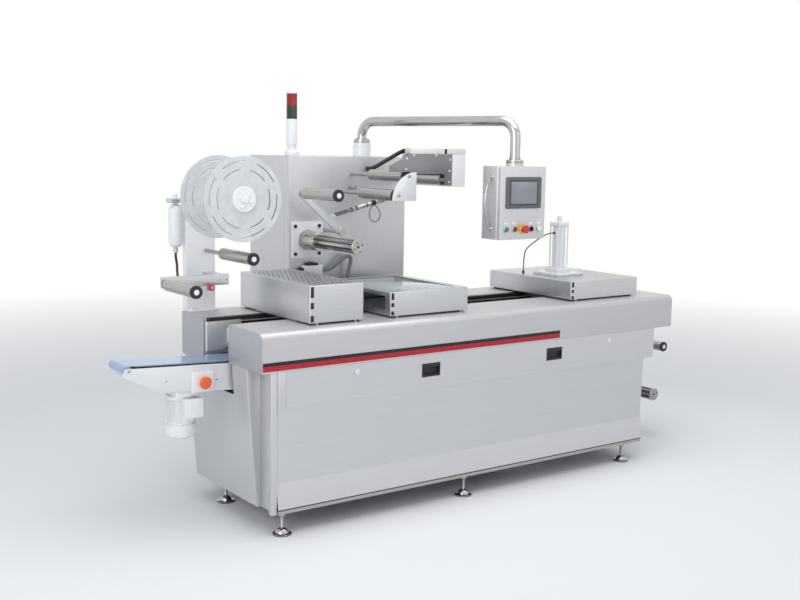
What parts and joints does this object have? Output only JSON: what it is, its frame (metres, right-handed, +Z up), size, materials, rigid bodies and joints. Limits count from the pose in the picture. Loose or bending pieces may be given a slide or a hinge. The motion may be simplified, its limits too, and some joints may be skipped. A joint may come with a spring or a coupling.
{
  "type": "thermoforming packaging machine",
  "caption": "Roll-fed thermoforming packaging machine with forming, sealing and cutting stations, film tower, swivel control box and discharge conveyor.",
  "frame": {"origin": "floor point under the middle of the front left levelling foot", "axes": "+X along the machine from the discharge end to the film feed end, +Y from the operator's side to the rear, +Z up"},
  "size_m": [3.446, 1.3399, 1.994],
  "materials": {
    "steel": "satin",
    "bright": "polished",
    "machined": "satin",
    "dark_steel": "satin",
    "black": "matte",
    "chain": "oiled",
    "white": "gloss",
    "clear": "clear",
    "pale_metal": "satin",
    "belt": "gloss",
    "motor_grey": "satin",
    "hose_dark": "matte",
    "hose_red": "satin",
    "green": "gloss",
    "dark_red": "gloss",
    "red": "gloss",
    "orange": "gloss"
  },
  "bodies": {
    "machine": {"levelling_feet": "bright", "base_frame": "steel", "front_panel": "steel", "body_panels": "steel", "deck_front": "steel", "deck_rear": "steel", "chain_guides": "black", "transport_chains": "chain", "exit_chute": "steel", "tower_housing": "steel", "beacon": "white", "scrap_column": "steel", "air_unit": "white", "air_hose": "hose_dark", "web_brackets": "machined", "roller_axles": "bright", "film_head": "dark_steel", "conduits": "black", "conveyor_frame": "pale_metal", "conveyor_belt": "belt", "conveyor_motor": "motor_grey", "upper_tools": "machined", "drive_units": "dark_steel", "screws": "bright", "dancer_spring": "chain"},
    "flap": {"front_flap": "steel"},
    "lock": {"flap_lock": "white"},
    "cutting_cover": {"cover_cutting": "steel"},
    "sealing_cover": {"cover_sealing": "steel", "sealing_window": "clear"},
    "forming_cover": {"cover_forming": "steel", "plug_cylinder": "white", "cylinder_hose": "hose_red"},
    "scrap_roller_body": {"scrap_roller": "machined"},
    "exit_roller_body": {"exit_roller": "machined"},
    "lower_roller_body": {"lower_roller": "machined"},
    "upper_roller_body": {"upper_roller": "machined"},
    "head_roller_body": {"head_roller": "white"},
    "top_mandrel_body": {"top_mandrel": "bright"},
    "bottom_mandrel_body": {"bottom_mandrel": "bright"},
    "bottom_roller_body": {"bottom_roller": "machined"},
    "dancer": {"dancer_arm": "bright"},
    "dancer_roller_body": {"dancer_roller": "machined"},
    "winder": {"winder_discs": "clear", "winder_hub": "white"},
    "arm": {"control_arm": "bright"},
    "box": {"control_box": "steel", "hmi_panel": "dark_steel"},
    "green_button_body": {"green_button": "green"},
    "red_button_body": {"red_button": "dark_red"},
    "estop_body": {"estop_button": "red"},
    "selector_body": {"selector_knob": "black"},
    "conveyor_drum_body": {"conveyor_drum": "bright"},
    "tail_drum_body": {"tail_drum": "bright"},
    "conveyor_knob_body": {"conveyor_knob": "orange"},
    "clamp": {"clamp_knob": "red"},
    "drive": {"drive_shaft": "bright"},
    "forming_die_body": {"forming_die": "machined"},
    "sealing_die_body": {"sealing_die": "machined"},
    "cross_cutter_body": {"cross_cutter": "machined"}
  },
  "joints": [
    {"name": "flap_hinge", "type": "hinge", "parent": "machine", "child": "flap", "pos_m": [0, -0.028, 0.579], "axis": [1, 0, 0], "range_deg": [0, 90]},
    {"name": "lock_turn", "type": "hinge", "parent": "flap", "child": "lock", "pos_m": [2, -0.031, 0.701], "axis": [0, 1, 0], "range_deg": [0, 90]},
    {"name": "cutting_cover_lift", "type": "slide", "parent": "machine", "child": "cutting_cover", "axis": [0, 0, 1], "range_m": [0, 0.12]},
    {"name": "sealing_cover_lift", "type": "slide", "parent": "machine", "child": "sealing_cover", "axis": [0, 0, 1], "range_m": [0, 0.12]},
    {"name": "forming_cover_lift", "type": "slide", "parent": "machine", "child": "forming_cover", "axis": [0, 0, 1], "range_m": [0, 0.12]},
    {"name": "scrap_roller_spin", "type": "hinge", "parent": "machine", "child": "scrap_roller_body", "pos_m": [-0.003, 0.4, 1.205], "axis": [0, 1, 0], "continuous": true},
    {"name": "exit_roller_spin", "type": "hinge", "parent": "machine", "child": "exit_roller_body", "pos_m": [-0.284, 0.4, 1.073], "axis": [0, 1, 0], "continuous": true},
    {"name": "lower_roller_spin", "type": "hinge", "parent": "machine", "child": "lower_roller_body", "pos_m": [0.775, 0.4, 1.482], "axis": [0, 1, 0], "continuous": true},
    {"name": "upper_roller_spin", "type": "hinge", "parent": "machine", "child": "upper_roller_body", "pos_m": [0.835, 0.4, 1.575], "axis": [0, 1, 0], "continuous": true},
    {"name": "head_roller_spin", "type": "hinge", "parent": "machine", "child": "head_roller_body", "pos_m": [1.065, 0.4, 1.557], "axis": [0, 1, 0], "continuous": true},
    {"name": "top_mandrel_spin", "type": "hinge", "parent": "machine", "child": "top_mandrel_body", "pos_m": [0.56, 0.4, 1.238], "axis": [0, 1, 0], "continuous": true},
    {"name": "bottom_mandrel_spin", "type": "hinge", "parent": "machine", "child": "bottom_mandrel_body", "pos_m": [2.712, 0.4, 0.263], "axis": [0, 1, 0], "continuous": true},
    {"name": "bottom_roller_spin", "type": "hinge", "parent": "machine", "child": "bottom_roller_body", "pos_m": [2.777, 0.4, 0.55], "axis": [0, 1, 0], "continuous": true},
    {"name": "dancer_swing", "type": "hinge", "parent": "machine", "child": "dancer", "pos_m": [0.679, 0.59, 1.286], "axis": [0, 1, 0], "range_deg": [-25, 20], "deforming": ["dancer_spring"]},
    {"name": "dancer_roller_spin", "type": "hinge", "parent": "dancer", "child": "dancer_roller_body", "pos_m": [0.44597, 0.4, 1.48432], "axis": [0, 1, 0], "continuous": true},
    {"name": "winder_spin", "type": "hinge", "parent": "machine", "child": "winder", "pos_m": [-0.04, 0.4, 1.474], "axis": [0, 1, 0], "continuous": true},
    {"name": "arm_swing", "type": "hinge", "parent": "machine", "child": "arm", "pos_m": [0.969, 0.85, 1.737], "axis": [0, 0, 1], "range_deg": [-35, 35]},
    {"name": "box_turn", "type": "hinge", "parent": "arm", "child": "box", "pos_m": [1.24097, -0.08005, 1.649], "axis": [0, 0, 1], "range_deg": [-45, 45]},
    {"name": "green_button_push", "type": "slide", "parent": "box", "child": "green_button_body", "axis": [0, 1, 0], "range_m": [0, 0.003], "stiffness_N_per_m": 400},
    {"name": "red_button_push", "type": "slide", "parent": "box", "child": "red_button_body", "axis": [0, 1, 0], "range_m": [0, 0.003], "stiffness_N_per_m": 400},
    {"name": "estop_push", "type": "slide", "parent": "box", "child": "estop_body", "axis": [0, 1, 0], "range_m": [0, 0.004]},
    {"name": "selector_turn", "type": "hinge", "parent": "box", "child": "selector_body", "pos_m": [1.29397, -0.15505, 1.333], "axis": [0, 1, 0], "range_deg": [-45, 45]},
    {"name": "conveyor_drum_spin", "type": "hinge", "parent": "machine", "child": "conveyor_drum_body", "pos_m": [-0.59, 0.365, 0.7517], "axis": [0, 1, 0], "continuous": true},
    {"name": "tail_drum_spin", "type": "hinge", "parent": "machine", "child": "tail_drum_body", "pos_m": [0.034, 0.365, 0.724], "axis": [0, 1, 0], "continuous": true},
    {"name": "conveyor_knob_push", "type": "slide", "parent": "machine", "child": "conveyor_knob_body", "axis": [0, 1, 0], "range_m": [0, 0.004]},
    {"name": "clamp_turn", "type": "hinge", "parent": "machine", "child": "clamp", "pos_m": [-0.065, 0.56, 1.047], "axis": [0, 1, 0], "range_deg": [-180, 180]},
    {"name": "drive_spin", "type": "hinge", "parent": "machine", "child": "drive", "pos_m": [2.431, 0.4, 0.839], "axis": [0, 1, 0], "continuous": true},
    {"name": "forming_die_lift", "type": "slide", "parent": "machine", "child": "forming_die_body", "axis": [0, 0, 1], "range_m": [-0.05, 0]},
    {"name": "sealing_die_lift", "type": "slide", "parent": "machine", "child": "sealing_die_body", "axis": [0, 0, 1], "range_m": [-0.05, 0]},
    {"name": "cross_cutter_lift", "type": "slide", "parent": "machine", "child": "cross_cutter_body", "axis": [0, 0, 1], "range_m": [-0.05, 0]}
  ],
  "couplings": [
    {"joint": "tail_drum_spin", "follows": "conveyor_drum_spin", "ratio": 1}
  ]
}
